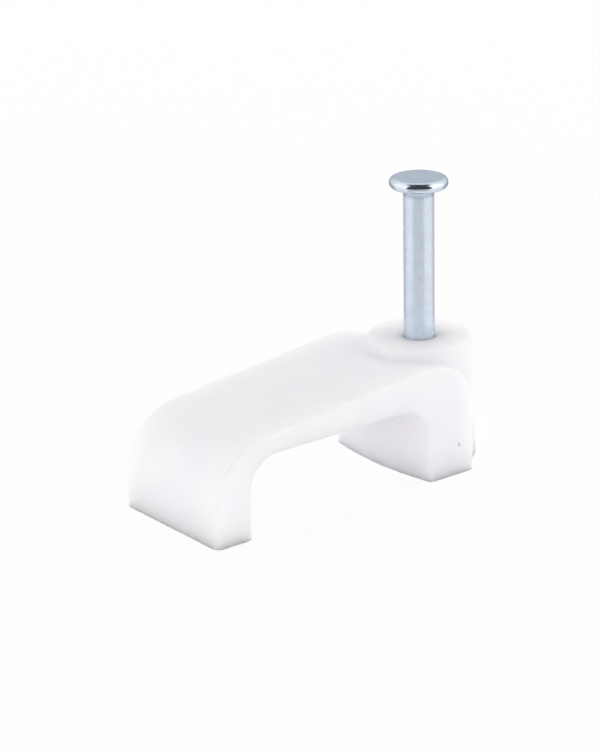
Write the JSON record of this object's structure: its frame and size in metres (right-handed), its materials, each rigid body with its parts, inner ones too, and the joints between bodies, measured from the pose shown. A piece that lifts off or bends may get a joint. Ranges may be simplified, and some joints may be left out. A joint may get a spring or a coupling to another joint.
{
  "type": "nail-in cable clip",
  "caption": "White moulded cable clip: an arch with a rounded free foot bridges a flat cable, and a zinc-plated nail stands part-driven in the round column at its other end.",
  "frame": {"origin": "where the nail's axis meets the wall", "axes": "+Z away from the wall along the nail, +X along the bridge from the free foot to the nail, Y along the cable"},
  "size_m": [0.0239, 0.0096, 0.0188],
  "materials": {
    "clip": "satin moulded white plastic",
    "nail": "bright bluish zinc plate"
  },
  "bodies": {
    "clip": {"clip_body": "clip"},
    "nail": {"nail": "nail"}
  },
  "joints": [
    {"name": "nail_drive", "type": "slide", "parent": "clip", "child": "nail", "axis": [0, 0, -1], "range_m": [0, 0.00975]}
  ]
}
